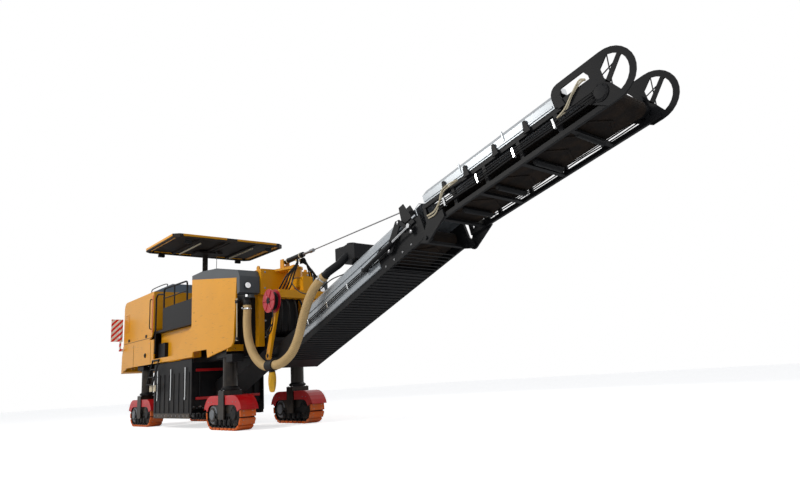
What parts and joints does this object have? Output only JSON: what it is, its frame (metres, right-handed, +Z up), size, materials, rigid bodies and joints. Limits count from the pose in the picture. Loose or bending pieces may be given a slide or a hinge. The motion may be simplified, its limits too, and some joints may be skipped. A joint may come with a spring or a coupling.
{
  "type": "cold planer milling machine",
  "caption": "Road milling machine on four steered crawler tracks raised on lifting columns, with a right-hand milling drum and a folding front conveyor.",
  "frame": {"origin": "under the middle of the whole machine, on the ground", "axes": "+X forward, towards the discharge conveyor; +Y to the machine's left; +Z up"},
  "size_m": [14.2412, 2.59, 3.98],
  "materials": {
    "body_yellow": "gloss paint",
    "cap_grey": "satin paint",
    "frame_black": "satin paint",
    "leg_steel": "bare steel, oiled",
    "fender_red": "gloss paint",
    "shoe_orange": "worn polyurethane",
    "plate_silver": "satin sheet",
    "belt_rubber": "dusty",
    "drum_iron": "worn",
    "hose_tan": "corrugated",
    "reel_red": "gloss paint",
    "seat_vinyl": "vinyl",
    "warning_white": "reflective, red stripes",
    "bag_yellow": "woven, limp"
  },
  "bodies": {
    "canopy_roof": {"canopy": "cap_grey"},
    "machine": {"canopy_post": "frame_black", "chassis": "frame_black", "drum_housing": "frame_black", "dust_hose_rear": "hose_tan", "engine_block": "frame_black", "handrail_left": "frame_black", "handrail_right": "frame_black", "loading_conveyor": "frame_black", "mast": "body_yellow", "mid_body": "body_yellow", "operator_deck": "frame_black", "operator_seat": "seat_vinyl", "pod_cap": "cap_grey", "rear_body": "body_yellow", "side_panel_left": "body_yellow", "side_panel_right": "body_yellow", "step_box_left": "frame_black", "step_box_right": "frame_black", "warning_plate_left": "warning_white", "warning_plate_right": "warning_white"},
    "conveyor_lower": {"conveyor_lower_belt": "belt_rubber", "conveyor_lower_cover": "plate_silver", "conveyor_lower_frame": "frame_black", "dust_hose_front": "hose_tan", "suction_fan": "frame_black"},
    "conveyor_upper": {"conveyor_upper_belt": "belt_rubber", "conveyor_upper_cover": "plate_silver", "conveyor_upper_frame": "frame_black", "head_guard_left": "frame_black", "head_guard_right": "frame_black"},
    "yoke": {"drain_bag": "bag_yellow", "hose_clamp": "frame_black", "slew_yoke": "body_yellow"},
    "track_unit_front_left": {"fender_front_left": "fender_red", "track_frame_front_left": "frame_black", "track_front_left": "shoe_orange"},
    "track_unit_front_right": {"fender_front_right": "fender_red", "track_frame_front_right": "frame_black", "track_front_right": "shoe_orange"},
    "track_unit_rear_left": {"fender_rear_left": "fender_red", "track_frame_rear_left": "frame_black", "track_rear_left": "shoe_orange"},
    "track_unit_rear_right": {"fender_rear_right": "fender_red", "track_frame_rear_right": "frame_black", "track_rear_right": "shoe_orange"},
    "fold_cylinder": {"fold_barrel": "frame_black"},
    "fold_cylinder_rod": {"fold_rod": "leg_steel"},
    "hoist_cylinder": {"hoist_barrel": "frame_black"},
    "hoist_rod": {"hoist_rope": "leg_steel"},
    "engine_hood": {"hood_top": "cap_grey", "rear_hood": "body_yellow"},
    "reel": {"hose_reel": "reel_red"},
    "boarding_ladder_left": {"ladder_left": "frame_black"},
    "boarding_ladder_right": {"ladder_right": "frame_black"},
    "milling_drum_rotor": {"milling_drum": "drum_iron"},
    "scraper_blade": {"scraper": "frame_black"},
    "edge_plate_left": {"side_plate_left": "frame_black"},
    "edge_plate_right": {"side_plate_right": "frame_black"}
  },
  "joints": [
    {"name": "steer_front_right", "type": "hinge", "parent": "machine", "child": "track_unit_front_right", "pos_m": [-1.3206, -0.72, 0], "axis": [0, 0, 1], "range_deg": [-25, 25]},
    {"name": "steer_front_left", "type": "hinge", "parent": "machine", "child": "track_unit_front_left", "pos_m": [-1.3206, 0.72, 0], "axis": [0, 0, 1], "range_deg": [-25, 25]},
    {"name": "steer_rear_right", "type": "hinge", "parent": "machine", "child": "track_unit_rear_right", "pos_m": [-5.8206, -0.72, 0], "axis": [0, 0, 1], "range_deg": [-20, 20]},
    {"name": "steer_rear_left", "type": "hinge", "parent": "machine", "child": "track_unit_rear_left", "pos_m": [-5.8206, 0.72, 0], "axis": [0, 0, 1], "range_deg": [-20, 20]},
    {"name": "drum_spin", "type": "hinge", "parent": "machine", "child": "milling_drum_rotor", "pos_m": [-3.7306, 0, 0.8], "axis": [0, 1, 0], "continuous": true},
    {"name": "edge_plate_right_slide", "type": "slide", "parent": "machine", "child": "edge_plate_right", "axis": [0, 0, 1], "range_m": [-0.12, 0.2]},
    {"name": "edge_plate_left_slide", "type": "slide", "parent": "machine", "child": "edge_plate_left", "axis": [0, 0, 1], "range_m": [-0.12, 0.2]},
    {"name": "scraper_slide", "type": "slide", "parent": "machine", "child": "scraper_blade", "axis": [0, 0, 1], "range_m": [-0.1, 0.1]},
    {"name": "hood_open", "type": "hinge", "parent": "machine", "child": "engine_hood", "pos_m": [-7.0206, 0, 1.95], "axis": [0, -1, 0], "range_deg": [0, 55]},
    {"name": "canopy_lift", "type": "slide", "parent": "machine", "child": "canopy_roof", "axis": [0, 0, 1], "range_m": [-0.75, 0]},
    {"name": "ladder_right_swing", "type": "hinge", "parent": "machine", "child": "boarding_ladder_right", "pos_m": [-1.3206, -0.968, 1.46], "axis": [-1, 0, 0], "range_deg": [0, 100]},
    {"name": "ladder_left_swing", "type": "hinge", "parent": "machine", "child": "boarding_ladder_left", "pos_m": [-1.3206, 0.968, 1.46], "axis": [1, 0, 0], "range_deg": [0, 100]},
    {"name": "conveyor_slew", "type": "hinge", "parent": "machine", "child": "yoke", "pos_m": [-0.1206, 0, 2.38], "axis": [0, 0, 1], "range_deg": [-45, 45], "deforming": ["dust_hose_rear"]},
    {"name": "reel_spin", "type": "hinge", "parent": "yoke", "child": "reel", "pos_m": [0.1794, -0.59, 2.17], "axis": [0, 1, 0], "continuous": true},
    {"name": "conveyor_lift", "type": "hinge", "parent": "yoke", "child": "conveyor_lower", "pos_m": [-0.1206, 0, 1.25], "axis": [0, -1, 0], "range_deg": [-9, 8], "deforming": ["dust_hose_front"]},
    {"name": "conveyor_fold", "type": "hinge", "parent": "conveyor_lower", "child": "conveyor_upper", "pos_m": [3.9791, 0, 2.49907], "axis": [0, 1, 0], "range_deg": [0, 100]},
    {"name": "hoist_cylinder_pitch", "type": "hinge", "parent": "yoke", "child": "hoist_cylinder", "pos_m": [-0.4906, 0, 3.03], "axis": [-0.0968, -0.9953, 0], "range_deg": [-15, 15]},
    {"name": "hoist_rod_stroke", "type": "slide", "parent": "hoist_cylinder", "child": "hoist_rod", "axis": [0.9953, -0.0968, -0.0074], "range_m": [-0.3, 0.3]},
    {"name": "fold_cylinder_pitch", "type": "hinge", "parent": "conveyor_lower", "child": "fold_cylinder", "pos_m": [2.66246, -0.515, 2.29004], "axis": [0, 1, 0], "range_deg": [-15, 15]},
    {"name": "fold_rod_stroke", "type": "slide", "parent": "fold_cylinder", "child": "fold_cylinder_rod", "axis": [0.9232, 0, 0.3844], "range_m": [-0.02, 0.56]}
  ],
  "couplings": [
    {"joint": "steer_front_left", "follows": "steer_front_right", "ratio": 1},
    {"joint": "steer_rear_left", "follows": "steer_rear_right", "ratio": 1},
    {"joint": "hoist_cylinder_pitch", "follows": "conveyor_lift", "ratio": 0.9002},
    {"joint": "hoist_rod_stroke", "follows": "conveyor_lift", "m_per_rad": -1.7688},
    {"joint": "fold_cylinder_pitch", "follows": "conveyor_fold", "ratio": 0.062},
    {"joint": "fold_rod_stroke", "follows": "conveyor_fold", "m_per_rad": 0.3037}
  ]
}
